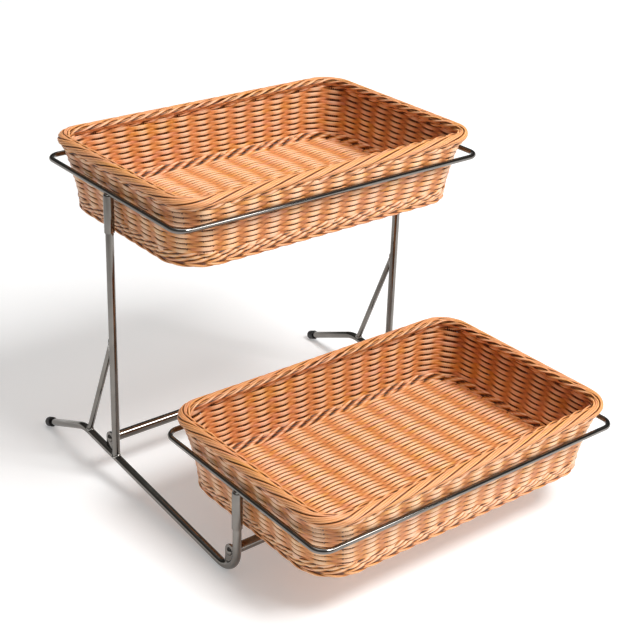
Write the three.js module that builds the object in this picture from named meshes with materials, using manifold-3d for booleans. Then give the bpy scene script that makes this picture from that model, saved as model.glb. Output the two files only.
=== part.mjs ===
// Two-tier bread rack for a counter: a bolted stand of bent chromed rod carries two wicker baskets.
// Each basket sits in a rectangular rod ring, and each ring slips over two posts by its sockets.
// The posts lean a little to the front, so the baskets tip towards the customer.
// Millimetres, +Z up, +Y to the back, +X to the right. The origin is under the middle of the footprint.
import * as THREE from "three";
import { mergeVertices } from "three/addons/utils/BufferGeometryUtils.js";
import Module from "manifold-3d";

const wasm = await Module();
wasm.setup();

// Driving dimensions of the stand. Heights are measured along the posts, from the elbow where the axes
// of the front post and the runner cross, and depths are measured square to the posts.
const LEAN = THREE.MathUtils.degToRad(2); // of the posts, to the front
const FRAME_SPAN = 450; // between the planes of the two side frames
const POST_SPACING = 260; // from the short front post back to the tall upright
const LOWER_RING_HEIGHT = 115.6;
const UPPER_RING_HEIGHT = 380.2;
const RING_DEPTH = 292; // axis to axis, front to back
const RING_CORNER = 16;
const FRAME_ROD = 10; // rod diameters
const BRACE_ROD = 7.5;
const RING_ROD = 6.4;
const CROSSBAR_ROD = 12.5;

// Side rail: front post, runner that climbs to the back, and rear foot, in one bent rod
const RUNNER_PITCH = THREE.MathUtils.degToRad(7.4); // above the counter
// The last facet of the front bend lies flat on the counter.
const FRONT_BEND = { radius: 30, steps: 7, lastStep: 2 * RUNNER_PITCH };
const REAR_BEND = { radius: 50, steps: 3 };
const REAR_BEND_DEPTH = 337.5;
const FOOT_DEPTH = 438; // tip of the foot cap behind the front post
const CAP = { radius: 6.5, bore: 5.65, end: 2, length: 13, edge: 2 };

// Brace from the runner's rear end up to the back of the upright, with its head cut square
const BRACE_FOOT_DEPTH = 326;
const BRACE_HEAD_HEIGHT = 192;
const BRACE_HEAD_CUT = 12; // from the upright's axis, along the brace

// Gusset plates, crossbars and the bolts that join them
const GUSSET = { thickness: 3, depth: 21, rise: 9, corner: 9, hole: 3.5 };
const CROSSBAR_SETBACK = 12.7; // crossbar axis behind the post
const FRONT_CROSSBAR_HEIGHT = 27.5;
const REAR_CROSSBAR_HEIGHT = 45.8;
const BOLT = { shank: 3, head: 5, headHeight: 3.2, grip: 14 };
const TAPPED_HOLE = { radius: 3.5, depth: 16 };

// Sockets under the rings
const SOCKET = { radius: 6.2, bore: 5.65, reach: 50 }; // reach: from the ring axis to the open end

// Basket, given by its outer half length at heights above the ring axis
const BASKET_DIFFERENCE = 75.85; // half length less half depth, the same at every height
const WALL_THICKNESS = 5;
const WALL_STATIONS = [
  { z: -48, halfLength: 210.2, corner: 52 },
  { z: -20, halfLength: 214.9, corner: 53 },
  { z: 0, halfLength: 218.2, corner: 52 },
  { z: 12, halfLength: 220.2, corner: 48 },
  { z: 20.7, halfLength: 221.6, corner: 43 },
];
const RIM = { z: 27.3, halfLength: 218.4, corner: 34, width: 6.2, height: 6.3 };
const FOOT_BORDER = { z: -53.2, halfLength: 206.2, corner: 47, width: 4.6, height: 4.8 };
const FLOOR = { top: -48.4, thickness: 5, halfLength: 201.2, corner: 43 };
// Bands of the floor, from front to back, where the cane bulges over the stakes
const FLOOR_BANDS = { count: 12, pitch: 33.5, crest: 12, slope: 5, relief: 1.3 };

const GAP = 0.3; // between pieces that touch
const ROD_SIDES = 12;
const CORNER_DIVISIONS = 3; // half the facets of a rounded corner

const chrome = new THREE.MeshStandardMaterial({ color: 0xbdb8b2, roughness: 0.15, metalness: 1 });
const blackPlastic = new THREE.MeshStandardMaterial({ color: 0x151515, roughness: 0.5, metalness: 0 });
const wicker = new THREE.MeshStandardMaterial({ color: 0xc98149, roughness: 0.6, metalness: 0 });

// Centreline of a bent rod: straight runs joined by circular bends, with a station at each end and facet.
class RodPath extends THREE.Curve {
  constructor(corners, bends) {
    super();
    this.stations = [];
    corners.forEach((corner, i) => {
      const before = i > 0 ? corner.clone().sub(corners[i - 1]).normalize() : null;
      const after = i < corners.length - 1 ? corners[i + 1].clone().sub(corner).normalize() : null;
      if (before && after) {
        this.addBend(corner, before, after, bends[i - 1]);
      } else {
        this.stations.push({ point: corner, tangent: before ?? after });
      }
    });
  }

  addBend(corner, before, after, { radius, steps, lastStep }) {
    const turn = before.angleTo(after);
    const evenTurn = lastStep ? (turn - lastStep) / (steps - 1) : turn / steps;
    const axis = before.clone().cross(after).normalize();
    const start = corner.clone().addScaledVector(before, -radius * Math.tan(turn / 2));
    const centre = start.clone().addScaledVector(axis.clone().cross(before), radius);
    for (let k = 0; k <= steps; k++) {
      const angle = k < steps ? evenTurn * k : turn;
      const arm = start.clone().sub(centre).applyAxisAngle(axis, angle);
      const tangent = before.clone().applyAxisAngle(axis, angle);
      this.stations.push({ point: centre.clone().add(arm), tangent });
    }
  }

  get steps() {
    return this.stations.length - 1;
  }

  station(u) {
    return this.stations[Math.round(u * this.steps)];
  }

  getPointAt(u) {
    return this.station(u).point.clone();
  }

  getTangentAt(u) {
    return this.station(u).tangent.clone();
  }
}

// Regular polygon whose flats stand at the rod's radius.
function rodSection(diameter) {
  const reach = diameter / 2 / Math.cos(Math.PI / ROD_SIDES);
  const corner = (_, k) => {
    const angle = ((k + 0.5) * 2 * Math.PI) / ROD_SIDES;
    return new THREE.Vector2(reach * Math.cos(angle), reach * Math.sin(angle));
  };
  return new THREE.Shape(Array.from({ length: ROD_SIDES }, corner));
}

function rod(diameter, corners, bends = []) {
  const path = new RodPath(corners, bends);
  return new THREE.ExtrudeGeometry(rodSection(diameter), { steps: path.steps, extrudePath: path });
}

function solidOf(geometry) {
  const bare = geometry.clone();
  bare.deleteAttribute("normal");
  bare.deleteAttribute("uv");
  const merged = mergeVertices(bare, 1e-4);
  const vertProperties = merged.attributes.position.array;
  const triVerts = new Uint32Array(merged.index.array);
  return new wasm.Manifold(new wasm.Mesh({ numProp: 3, vertProperties, triVerts }));
}

function geometryOf(solid) {
  const { vertProperties, triVerts } = solid.getMesh();
  const geometry = new THREE.BufferGeometry();
  geometry.setAttribute("position", new THREE.BufferAttribute(vertProperties, 3));
  geometry.setIndex(new THREE.BufferAttribute(triVerts, 1));
  geometry.computeVertexNormals();
  return geometry;
}

// What is left of a piece where the others, already grown by the gap, take their room.
function fitted(geometry, ...others) {
  return geometryOf(others.reduce((rest, other) => rest.subtract(solidOf(other)), solidOf(geometry)));
}

function turned(profile, segments) {
  const points = profile.map(([radius, along]) => new THREE.Vector2(radius, along));
  return new THREE.LatheGeometry(points, segments);
}

// Rounded rectangle seen from above, counter-clockwise.
function plan({ halfLength, halfDepth, corner }) {
  const shape = new THREE.Shape();
  const [x, y] = [halfLength - corner, halfDepth - corner];
  shape.absarc(x, y, corner, 0, Math.PI / 2);
  shape.absarc(-x, y, corner, Math.PI / 2, Math.PI);
  shape.absarc(-x, -y, corner, Math.PI, 1.5 * Math.PI);
  shape.absarc(x, -y, corner, 1.5 * Math.PI, 2 * Math.PI);
  return shape;
}

// Closed band through rounded rectangles, listed round its section: up the outside, down the inside.
function hoop(stations) {
  const rings = stations.map((s) => plan(s).getPoints(CORNER_DIVISIONS).map((p) => [p.x, p.y, s.z]));
  const count = rings[0].length;
  const index = [];
  rings.forEach((_, i) => {
    const [low, high] = [i * count, ((i + 1) % rings.length) * count];
    for (let j = 0; j < count; j++) {
      const k = (j + 1) % count;
      index.push(low + j, low + k, high + k, low + j, high + k, high + j);
    }
  });
  const geometry = new THREE.BufferGeometry();
  geometry.setAttribute("position", new THREE.Float32BufferAttribute(rings.flat(2), 3));
  geometry.setIndex(index);
  geometry.computeVertexNormals();
  return geometry;
}

// Band of oval section round a rounded rectangle that runs through the middle of the section.
function roll({ z, halfLength, halfDepth, corner, width, height }, sides) {
  const reach = 1 / Math.cos(Math.PI / sides);
  const station = (_, k) => {
    const angle = ((k + 0.5) * 2 * Math.PI) / sides - Math.PI / 2;
    const out = reach * width * Math.cos(angle);
    return {
      z: z + reach * height * Math.sin(angle),
      halfLength: halfLength + out,
      halfDepth: halfDepth + out,
      corner: corner + out,
    };
  };
  return hoop(Array.from({ length: sides }, station));
}

function mesh(name, geometry, material) {
  const piece = new THREE.Mesh(geometry, material);
  piece.name = name;
  return piece;
}

// Side frame in its own plane, x = 0, with its posts upright and the elbow at the origin. The whole rack
// leans later.
const at = (depth, height) => new THREE.Vector3(0, depth, height);
const frameRadius = FRAME_ROD / 2;
const runnerSlope = RUNNER_PITCH - LEAN;
const runner = (depth) => depth * Math.tan(runnerSlope);
const bendRise = FRONT_BEND.radius / Math.cos(runnerSlope);
const bendCentre = at(FRONT_BEND.radius, runner(FRONT_BEND.radius) + bendRise);
const bendReach = (FRONT_BEND.radius + frameRadius) * Math.cos(RUNNER_PITCH);
const counterNormal = at(Math.sin(LEAN), Math.cos(LEAN));
const counterLevel = bendCentre.dot(counterNormal) - bendReach;
const ringSeat = RING_ROD / 2 + GAP; // from the ring axis down to the post that it rests on

// The cap's rounded edge touches the counter, so the foot's tip is found from its depth and slope.
const onCounter = (depth, level) => (counterLevel + level - depth * Math.sin(LEAN)) / Math.cos(LEAN);
const rearBend = at(REAR_BEND_DEPTH, runner(REAR_BEND_DEPTH));
const footFall = rearBend.z - onCounter(FOOT_DEPTH, CAP.radius);
const footSlope = Math.atan2(footFall, FOOT_DEPTH - REAR_BEND_DEPTH) - LEAN;
const tipLevel = (CAP.radius - CAP.edge) * Math.cos(footSlope) + CAP.edge * (1 - Math.sin(footSlope));
const footTip = at(FOOT_DEPTH, onCounter(FOOT_DEPTH, tipLevel));
const footDirection = footTip.clone().sub(rearBend).normalize();
const rodEnd = footTip.clone().addScaledVector(footDirection, -CAP.end - GAP);

const railCorners = [at(0, LOWER_RING_HEIGHT - ringSeat), at(0, 0), rearBend, rodEnd];
const railBends = [FRONT_BEND, REAR_BEND];
const grownRod = FRAME_ROD + 2 * GAP;
const uprightBase = at(POST_SPACING, runner(POST_SPACING));
const uprightAxis = [uprightBase, at(POST_SPACING, UPPER_RING_HEIGHT - ringSeat)];
const braceFoot = at(BRACE_FOOT_DEPTH, runner(BRACE_FOOT_DEPTH));
const braceDirection = at(POST_SPACING, BRACE_HEAD_HEIGHT).sub(braceFoot).normalize();
const braceHead = at(POST_SPACING, BRACE_HEAD_HEIGHT).addScaledVector(braceDirection, -BRACE_HEAD_CUT);

const rail = rod(FRAME_ROD, railCorners, railBends);
const railRoom = rod(grownRod, railCorners, railBends);
const upright = fitted(rod(FRAME_ROD, uprightAxis), railRoom);
const uprightRoom = rod(grownRod, uprightAxis);
const brace = fitted(rod(BRACE_ROD, [braceFoot, braceHead]), railRoom, uprightRoom);

// The lower edge of a plate follows the rod's axis: round the bend behind the front post, or straight along
// the runner behind the upright.
function followBend(outline, back) {
  const { y, z } = bendCentre;
  const { radius } = FRONT_BEND;
  outline.absarc(y, z, radius, Math.PI, 2 * Math.PI - Math.acos((back - y) / radius));
}

function followRunner(outline, back) {
  outline.lineTo(POST_SPACING, runner(POST_SPACING));
  outline.lineTo(back, runner(back));
}

const CROSSBARS = [
  { place: "front", post: 0, height: FRONT_CROSSBAR_HEIGHT, followRod: followBend },
  { place: "rear", post: POST_SPACING, height: REAR_CROSSBAR_HEIGHT, followRod: followRunner },
];

// Plate in the corner behind a post: rounded at its free upper corner and bored for the bolt.
function gusset({ post, height, followRod }) {
  const { thickness, depth, rise, corner, hole } = GUSSET;
  const [back, top] = [post + depth, height + rise];
  const outline = new THREE.Shape();
  outline.moveTo(post, top);
  followRod(outline, back);
  outline.absarc(back - corner, top - corner, corner, 0, Math.PI / 2);
  const bore = new THREE.Path();
  bore.absarc(post + CROSSBAR_SETBACK, height, hole, 0, 2 * Math.PI);
  outline.holes.push(bore);
  const settings = { depth: thickness, bevelEnabled: false, curveSegments: 8 };
  const plate = new THREE.ExtrudeGeometry(outline, settings);
  // The outline is drawn in y and z, so x, y, z of the extrusion become y, z, x.
  const turn = new THREE.Matrix4().set(0, 0, 1, -thickness / 2, 1, 0, 0, 0, 0, 1, 0, 0, 0, 0, 0, 1);
  return fitted(plate.applyMatrix4(turn), railRoom, uprightRoom);
}

// Cup over the foot's end, closed end first along +Y of the lathe, with a rounded edge.
function footCap() {
  const { radius, bore, end, length, edge } = CAP;
  const rounded = [30, 60].map((degrees) => {
    const angle = THREE.MathUtils.degToRad(degrees);
    return [radius - edge + edge * Math.cos(angle), -edge + edge * Math.sin(angle)];
  });
  const outside = [[radius, -length], [radius, -edge], ...rounded, [radius - edge, 0], [0, 0]];
  return turned([[0, -end], [bore, -end], [bore, -length], ...outside], 16);
}

// Button-head bolt, head outwards along +Y of the lathe, seated on the plane y = 0.
function bolt() {
  const { shank, head, headHeight, grip } = BOLT;
  const length = GUSSET.thickness + 2 * GAP + grip;
  const edge = [[head, 0], [head, 0.3 * headHeight]];
  const dome = [[0.8 * head, 0.75 * headHeight], [0.4 * head, headHeight], [0, headHeight]];
  return turned([[0, -length], [shank, -length], [shank, 0], ...edge, ...dome], 12);
}

function crossbar() {
  const half = FRAME_SPAN / 2 - GUSSET.thickness / 2 - GAP;
  const { radius, depth } = TAPPED_HOLE;
  const outer = CROSSBAR_ROD / 2;
  const profile = [
    [0, depth - half], [radius, depth - half], [radius, -half], [outer, -half],
    [outer, half], [radius, half], [radius, half - depth], [0, half - depth],
  ];
  return turned(profile, 16).rotateZ(-Math.PI / 2);
}

function socket() {
  const { radius, bore, reach } = SOCKET;
  const [low, high] = [-reach, -ringSeat];
  const profile = [[bore, low], [radius, low], [radius, high], [bore, high], [bore, low]];
  return turned(profile, 16).rotateX(Math.PI / 2);
}

function sideFrame(side, sign) {
  const frame = new THREE.Group();
  frame.position.x = (sign * FRAME_SPAN) / 2;
  const cap = mesh(`${side}_foot_cap`, footCap(), blackPlastic);
  cap.position.copy(footTip);
  cap.quaternion.setFromUnitVectors(new THREE.Vector3(0, 1, 0), footDirection);
  frame.add(
    mesh(`${side}_side_rail`, rail, chrome),
    mesh(`${side}_upright`, upright, chrome),
    mesh(`${side}_brace`, brace, chrome),
    cap,
  );
  for (const crossing of CROSSBARS) {
    const { place, post, height } = crossing;
    const screw = mesh(`${side}_${place}_bolt`, bolt(), chrome);
    screw.position.set(sign * (GUSSET.thickness / 2 + GAP), post + CROSSBAR_SETBACK, height);
    screw.rotation.z = (-sign * Math.PI) / 2;
    frame.add(mesh(`${side}_${place}_gusset`, gusset(crossing), chrome), screw);
  }
  return frame;
}

function ring(tier, post, height) {
  const group = new THREE.Group();
  group.position.set(0, post, height);
  const rodLoop = {
    z: 0,
    halfLength: FRAME_SPAN / 2,
    halfDepth: RING_DEPTH / 2,
    corner: RING_CORNER,
    width: RING_ROD / 2,
    height: RING_ROD / 2,
  };
  group.add(mesh(`${tier}_ring`, roll(rodLoop, ROD_SIDES), chrome));
  for (const [side, sign] of [["left", -1], ["right", 1]]) {
    const sleeve = mesh(`${tier}_${side}_socket`, socket(), chrome);
    sleeve.position.x = (sign * FRAME_SPAN) / 2;
    group.add(sleeve);
  }
  return group;
}

const deep = (station) => ({ ...station, halfDepth: station.halfLength - BASKET_DIFFERENCE });

function basketWall() {
  const outside = WALL_STATIONS.map(deep);
  const inside = WALL_STATIONS.toReversed().map((s) =>
    deep({ z: s.z, halfLength: s.halfLength - WALL_THICKNESS, corner: s.corner - WALL_THICKNESS }),
  );
  return hoop([...outside, ...inside]);
}

// Floor seen from the front: crests over the stakes and hollows between them, above and below.
function floorProfile() {
  const { count, pitch, crest, slope, relief } = FLOOR_BANDS;
  const high = FLOOR.thickness / 2;
  const low = high - relief;
  const foot = crest / 2 + slope;
  const end = FLOOR.halfLength + 1; // past the outline that trims it
  const bands = Array.from({ length: count }, (_, k) => (k - (count - 1) / 2) * pitch).flatMap((x) => [
    [x - foot, low], [x - crest / 2, high], [x + crest / 2, high], [x + foot, low],
  ]);
  const upper = [[-end, low], ...bands, [end, low]];
  const lower = upper.toReversed().map(([x, z]) => [x, -z]);
  return new THREE.Shape([...upper, ...lower].map(([x, z]) => new THREE.Vector2(x, z)));
}

function basketFloor() {
  const { top, thickness } = FLOOR;
  const outline = deep(FLOOR);
  const settings = { depth: thickness, bevelEnabled: false, curveSegments: 2 * CORNER_DIVISIONS };
  const slab = new THREE.ExtrudeGeometry(plan(outline), settings).translate(0, 0, top - thickness);
  const reach = outline.halfDepth + 1;
  const bands = new THREE.ExtrudeGeometry(floorProfile(), { depth: 2 * reach, bevelEnabled: false });
  bands.rotateX(Math.PI / 2).translate(0, reach, top - thickness / 2);
  return geometryOf(solidOf(slab).intersect(solidOf(bands)));
}

function basket(tier, post, height) {
  const group = new THREE.Group();
  group.position.set(0, post, height);
  group.add(
    mesh(`${tier}_basket_wall`, basketWall(), wicker),
    mesh(`${tier}_basket_floor`, basketFloor(), wicker),
    mesh(`${tier}_basket_rim`, roll(deep(RIM), 10), wicker),
    mesh(`${tier}_basket_foot_border`, roll(deep(FOOT_BORDER), 8), wicker),
  );
  return group;
}

const rack = new THREE.Group();
rack.add(sideFrame("left", -1), sideFrame("right", 1));
for (const { place, post, height } of CROSSBARS) {
  const bar = mesh(`${place}_crossbar`, crossbar(), chrome);
  bar.position.set(0, post + CROSSBAR_SETBACK, height);
  rack.add(bar);
}
for (const [tier, post, height] of [
  ["upper", POST_SPACING, UPPER_RING_HEIGHT],
  ["lower", 0, LOWER_RING_HEIGHT],
]) {
  rack.add(ring(tier, post, height), basket(tier, post, height));
}

// Leant to the front and set on the counter, with the origin under the middle of the footprint.
rack.rotation.x = LEAN;
const box = new THREE.Box3().setFromObject(rack, true);
rack.position.set(0, -(box.min.y + box.max.y) / 2, -box.min.z);

const model = new THREE.Group();
model.add(rack);
export default model;
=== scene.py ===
"""Looks of a two-tier bakery bread rack: chromed rod stand, slip-on rod rings and wicker baskets."""

import logging
import math
from dataclasses import dataclass
from enum import Enum
from typing import Iterable, List, Sequence, Tuple, Union

import bmesh
import bpy
import numpy as np
from mathutils import Matrix, Quaternion, Vector


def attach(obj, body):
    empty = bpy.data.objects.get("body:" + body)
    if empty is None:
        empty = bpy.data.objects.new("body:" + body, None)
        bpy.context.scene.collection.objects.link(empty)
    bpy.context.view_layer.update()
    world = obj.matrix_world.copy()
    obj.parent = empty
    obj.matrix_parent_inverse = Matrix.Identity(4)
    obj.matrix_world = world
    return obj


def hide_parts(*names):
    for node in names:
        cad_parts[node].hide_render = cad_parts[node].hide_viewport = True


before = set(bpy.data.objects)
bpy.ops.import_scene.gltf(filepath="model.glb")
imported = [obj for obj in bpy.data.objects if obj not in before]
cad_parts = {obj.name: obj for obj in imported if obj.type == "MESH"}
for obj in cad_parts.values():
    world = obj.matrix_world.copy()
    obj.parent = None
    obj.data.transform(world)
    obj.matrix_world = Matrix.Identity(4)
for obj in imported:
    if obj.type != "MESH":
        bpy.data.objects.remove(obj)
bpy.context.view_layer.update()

LOG = logging.getLogger("bread_rack")

MM = 0.001
LEAN = math.radians(2.0)
ELBOW = Vector((0.0, -0.1429212281, 0.0007120204))
RACK = Matrix.Translation(ELBOW) @ Matrix.Rotation(LEAN, 4, "X")

ROD_SIDES = 28
SMOOTH_LIMIT = math.radians(40.0)
MERGE = 0.001 * MM
FIT = 0.3 * MM
BEAD_STEPS = 40
THIRDS = (0.0, 1.0 / 3.0, 2.0 / 3.0)

Span = Tuple[float, float]
Point = Tuple[float, float, float]
Colour = Tuple[float, float, float, float]
Stop = Tuple[float, Colour]
Socket = bpy.types.NodeSocket


class Side(Enum):
    """One of the two side frames, with the sign of its x."""

    LEFT = -1
    RIGHT = 1


class Tier(Enum):
    """One of the two baskets: depth of its posts and height of its ring along the posts, in metres."""

    UPPER = (0.260, 0.3802)
    LOWER = (0.0, 0.1156)

    @property
    def label(self) -> str:
        """Lower-case name, as the CAD nodes use it."""
        return self.name.lower()

    @property
    def place(self) -> Matrix:
        """Matrix from the ring's own middle to the part frame."""
        depth, height = self.value
        return RACK @ Matrix.Translation((0.0, depth, height))


class Slot(Enum):
    """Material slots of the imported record."""

    CHROME = "chrome"
    PLASTIC = "black_plastic"
    WICKER = "wicker"


@dataclass(frozen=True)
class Grain:
    """Noise of a surface: repeats along each axis, and octaves."""

    scale: Point
    detail: float


def even(repeats: float, detail: float) -> Grain:
    """Grain with the same repeats along every axis."""
    return Grain((repeats, repeats, repeats), detail)


def fill(ramp: bpy.types.ColorRamp, stops: Sequence[Stop]) -> None:
    """Sets the places and colours of a new colour ramp.

    Args:
        ramp: The ramp.
        stops: Places and colours, from the first to the last.
    """
    points = ramp.elements
    while len(points) < len(stops):
        points.new(1.0)
    for point, (place, colour) in zip(points, stops):
        point.position = place
        point.color = colour


class Shader:
    """Small helper that lays out one node material."""

    def __init__(self, name: str) -> None:
        """Starts a material with its principled shader.

        Args:
            name: Name of the material.
        """
        self.material = bpy.data.materials.new(name)
        self.material.use_nodes = True
        self.nodes = self.material.node_tree.nodes
        self.links = self.material.node_tree.links
        self.surface = self.nodes["Principled BSDF"]

    def node(self, kind: str, **values: object) -> bpy.types.Node:
        """Adds a node and sets its plain properties.

        Args:
            kind: Node type without the ShaderNode prefix.
            values: Properties of the node.

        Returns:
            The new node.
        """
        made = self.nodes.new("ShaderNode" + kind)
        for key, value in values.items():
            setattr(made, key, value)
        return made

    def link(self, source: Socket, target: Socket) -> None:
        """Joins two sockets."""
        self.links.new(source, target)

    def feed(self, source: Socket, name: str) -> None:
        """Joins a socket to a named input of the surface."""
        self.link(source, self.surface.inputs[name])

    def ramp(self, source: Socket, places: Sequence[float], colours: Sequence[Colour]) -> Socket:
        """Colours a value through a ramp.

        Args:
            source: Value from 0 to 1.
            places: Values at which the ramp's colours stand.
            colours: Colour at each place.

        Returns:
            The ramp's colour socket.
        """
        made = self.node("ValToRGB")
        fill(made.color_ramp, list(zip(places, colours)))
        self.link(source, made.inputs["Fac"])
        return made.outputs["Color"]

    def spread(self, source: Socket, result: Span, reach: Span = (0.0, 1.0), ease: str = "LINEAR") -> Socket:
        """Maps a value from one range to another.

        Args:
            source: The value.
            result: Results at both ends.
            reach: Values of the source at both ends.
            ease: Kind of the change between them.

        Returns:
            The mapped value socket.
        """
        made = self.node("MapRange", interpolation_type=ease)
        for name, value in zip(("From Min", "From Max", "To Min", "To Max"), reach + result):
            made.inputs[name].default_value = value
        self.link(source, made.inputs["Value"])
        return made.outputs["Result"]

    def noise(self, vector: Socket, grain: Grain) -> Socket:
        """Noise stretched by the scale of a grain.

        Args:
            vector: Coordinates that the noise reads.
            grain: Repeats and octaves of the noise.

        Returns:
            The noise value socket.
        """
        stretch = self.node("Mapping")
        stretch.inputs["Scale"].default_value = grain.scale
        cloud = self.node("TexNoise")
        cloud.inputs["Scale"].default_value = 1.0
        cloud.inputs["Detail"].default_value = grain.detail
        self.link(vector, stretch.inputs["Vector"])
        self.link(stretch.outputs["Vector"], cloud.inputs["Vector"])
        return cloud.outputs["Fac"]

    def bump(self, height: Socket, strength: float, distance: float) -> None:
        """Roughens the surface normal.

        Args:
            height: Height socket of the relief.
            strength: Share of the relief that shows.
            distance: Depth of the relief in metres.
        """
        made = self.node("Bump")
        made.inputs["Strength"].default_value = strength
        made.inputs["Distance"].default_value = distance
        self.link(height, made.inputs["Height"])
        self.feed(made.outputs["Normal"], "Normal")


@dataclass(frozen=True)
class MottledFinish:
    """Finish with two tones in cloudy patches and a fine relief."""

    name: str
    tones: Tuple[Colour, Colour]
    band: Span
    patches: Grain
    roughness: Span
    relief: Grain
    relief_strength: float
    relief_depth: float
    metallic: float

    def material(self) -> bpy.types.Material:
        """Mixes the finish.

        Returns:
            The node material.
        """
        shader = Shader(self.name)
        place = shader.node("TexCoord").outputs["Object"]
        patches = shader.noise(place, self.patches)
        shader.surface.inputs["Metallic"].default_value = self.metallic
        shader.feed(shader.ramp(patches, self.band, self.tones), "Base Color")
        shader.feed(shader.spread(patches, self.roughness), "Roughness")
        shader.bump(shader.noise(place, self.relief), self.relief_strength, self.relief_depth)
        return shader.material


@dataclass(frozen=True)
class ChromeFinish(MottledFinish):
    """Bright plated rod with faint smears from handling."""

    name: str = "plated_rod"
    tones: Tuple[Colour, Colour] = ((0.220, 0.207, 0.191, 1.0), (0.175, 0.163, 0.149, 1.0))
    band: Span = (0.35, 0.75)
    patches: Grain = even(38.0, 4.0)
    roughness: Span = (0.055, 0.15)
    relief: Grain = even(900.0, 2.0)
    relief_strength: float = 0.05
    relief_depth: float = 0.02 * MM
    metallic: float = 1.0


@dataclass(frozen=True)
class WeldFinish(MottledFinish):
    """Plated weld metal, duller and rougher than the rod beside it."""

    name: str = "plated_weld"
    tones: Tuple[Colour, Colour] = ((0.26, 0.25, 0.235, 1.0), (0.46, 0.45, 0.43, 1.0))
    band: Span = (0.3, 0.6)
    patches: Grain = even(620.0, 2.0)
    roughness: Span = (0.16, 0.34)
    relief: Grain = even(620.0, 2.0)
    relief_strength: float = 0.6
    relief_depth: float = 0.35 * MM
    metallic: float = 1.0


@dataclass(frozen=True)
class PlasticFinish(MottledFinish):
    """Black moulded plastic of the foot caps, with a fine matt grain and scuffs."""

    name: str = "moulded_cap"
    tones: Tuple[Colour, Colour] = ((0.010, 0.010, 0.011, 1.0), (0.045, 0.045, 0.046, 1.0))
    band: Span = (0.5, 0.8)
    patches: Grain = even(160.0, 5.0)
    roughness: Span = (0.34, 0.6)
    relief: Grain = even(1400.0, 2.0)
    relief_strength: float = 0.25
    relief_depth: float = 0.06 * MM
    metallic: float = 0.0


@dataclass(frozen=True)
class WickerFinish:
    """Lacquered honey-orange cane, with painted highlight that makes the crests pale and painted shade that
    makes the gaps and hollows brown.
    """

    name: str = "lacquered_cane"
    # Ramp colours: painted shade for the gaps and hollows, the cane's own orange, and painted highlight on
    # the flanks and crests.
    gap: Colour = (0.040, 0.014, 0.005, 1.0)
    painted_hollow_shade: Colour = (0.230, 0.072, 0.017, 1.0)
    slope: Colour = (0.630, 0.228, 0.071, 1.0)
    painted_flank_light: Colour = (0.785, 0.355, 0.142, 1.0)
    painted_light: Colour = (0.925, 0.600, 0.380, 1.0)
    heights: Tuple[float, ...] = (0.0, 0.30, 0.50, 0.72, 1.0)
    fibres: Grain = Grain((55.0, 7.0, 41.0), 4.0)
    batches: Grain = Grain((6.0, 0.0, 17.0), 1.0)
    hue: Span = (0.478, 0.522)
    saturation: Span = (0.86, 1.16)
    brightness: Span = (0.72, 1.24)
    roughness: Span = (0.30, 0.52)
    lacquer: float = 0.18
    lacquer_roughness: float = 0.30
    shine: float = 0.40
    fibre_strength: float = 0.35
    fibre_depth: float = 0.25 * MM

    def material(self) -> bpy.types.Material:
        """Makes the cane; it reads each strand's lay attribute and its painted light and shade attribute.

        Returns:
            The node material.
        """
        shader = Shader(self.name)
        painted_light = shader.node("Attribute", attribute_name="painted_light").outputs["Fac"]
        lay = shader.node("Attribute", attribute_name="lay").outputs["Vector"]
        fibres = shader.noise(lay, self.fibres)
        batch = shader.noise(lay, self.batches)
        # Painted light: the ramp runs from painted shade in the gaps, through the cane's own orange, to a
        # pale painted highlight on the crests.
        height = shader.spread(painted_light, (0.0, 1.0), reach=(-1.0, 1.0))
        colours = (self.gap, self.painted_hollow_shade, self.slope, self.painted_flank_light, self.painted_light)
        tone = shader.node("HueSaturation")
        shader.link(shader.spread(batch, self.hue), tone.inputs["Hue"])
        shader.link(shader.spread(fibres, self.brightness), tone.inputs["Value"])
        shader.link(shader.spread(batch, self.saturation), tone.inputs["Saturation"])
        shader.link(shader.ramp(height, self.heights, colours), tone.inputs["Color"])
        shader.feed(tone.outputs["Color"], "Base Color")
        shader.feed(shader.spread(fibres, self.roughness), "Roughness")
        shader.surface.inputs["Coat Weight"].default_value = self.lacquer
        shader.surface.inputs["Coat Roughness"].default_value = self.lacquer_roughness
        shader.surface.inputs["Specular IOR Level"].default_value = self.shine
        shader.bump(fibres, self.fibre_strength, self.fibre_depth)
        return shader.material


@dataclass(frozen=True)
class CounterFinish:
    """Pale matt counter, with painted shade that makes it greyer well in front of the rack, and painted
    light: it glows, more so far behind the rack, where it is whiter.
    """

    name: str = "pale_counter"
    # The counter's pale tone, and the grey of its painted shade well in front of the rack.
    tones: Tuple[Colour, Colour] = ((0.84, 0.84, 0.84, 1.0), (0.60, 0.59, 0.58, 1.0))
    front: Point = (-0.612, -0.791, 0.0)
    fade: Span = (0.37, 1.10)
    glow: Span = (0.34, 0.80)
    glow_fade: Span = (-0.4, -2.2)
    roughness: float = 0.7

    def material(self) -> bpy.types.Material:
        """Makes the counter surface.

        Returns:
            The node material.
        """
        shader = Shader(self.name)
        ahead = shader.node("VectorMath", operation="DOT_PRODUCT")
        ahead.inputs[1].default_value = self.front
        shader.link(shader.node("TexCoord").outputs["Object"], ahead.inputs[0])
        distance = ahead.outputs["Value"]
        # Painted shade: the counter greys well in front of the rack.
        fade = shader.spread(distance, (0.0, 1.0), self.fade, "SMOOTHSTEP")
        tone = shader.ramp(fade, (0.0, 1.0), self.tones)
        shader.feed(tone, "Base Color")
        # Painted light: the counter glows in its own tone, more so far behind the rack.
        shader.feed(tone, "Emission Color")
        shader.feed(shader.spread(distance, self.glow, self.glow_fade, "SMOOTHSTEP"), "Emission Strength")
        shader.surface.inputs["Roughness"].default_value = self.roughness
        return shader.material


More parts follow.
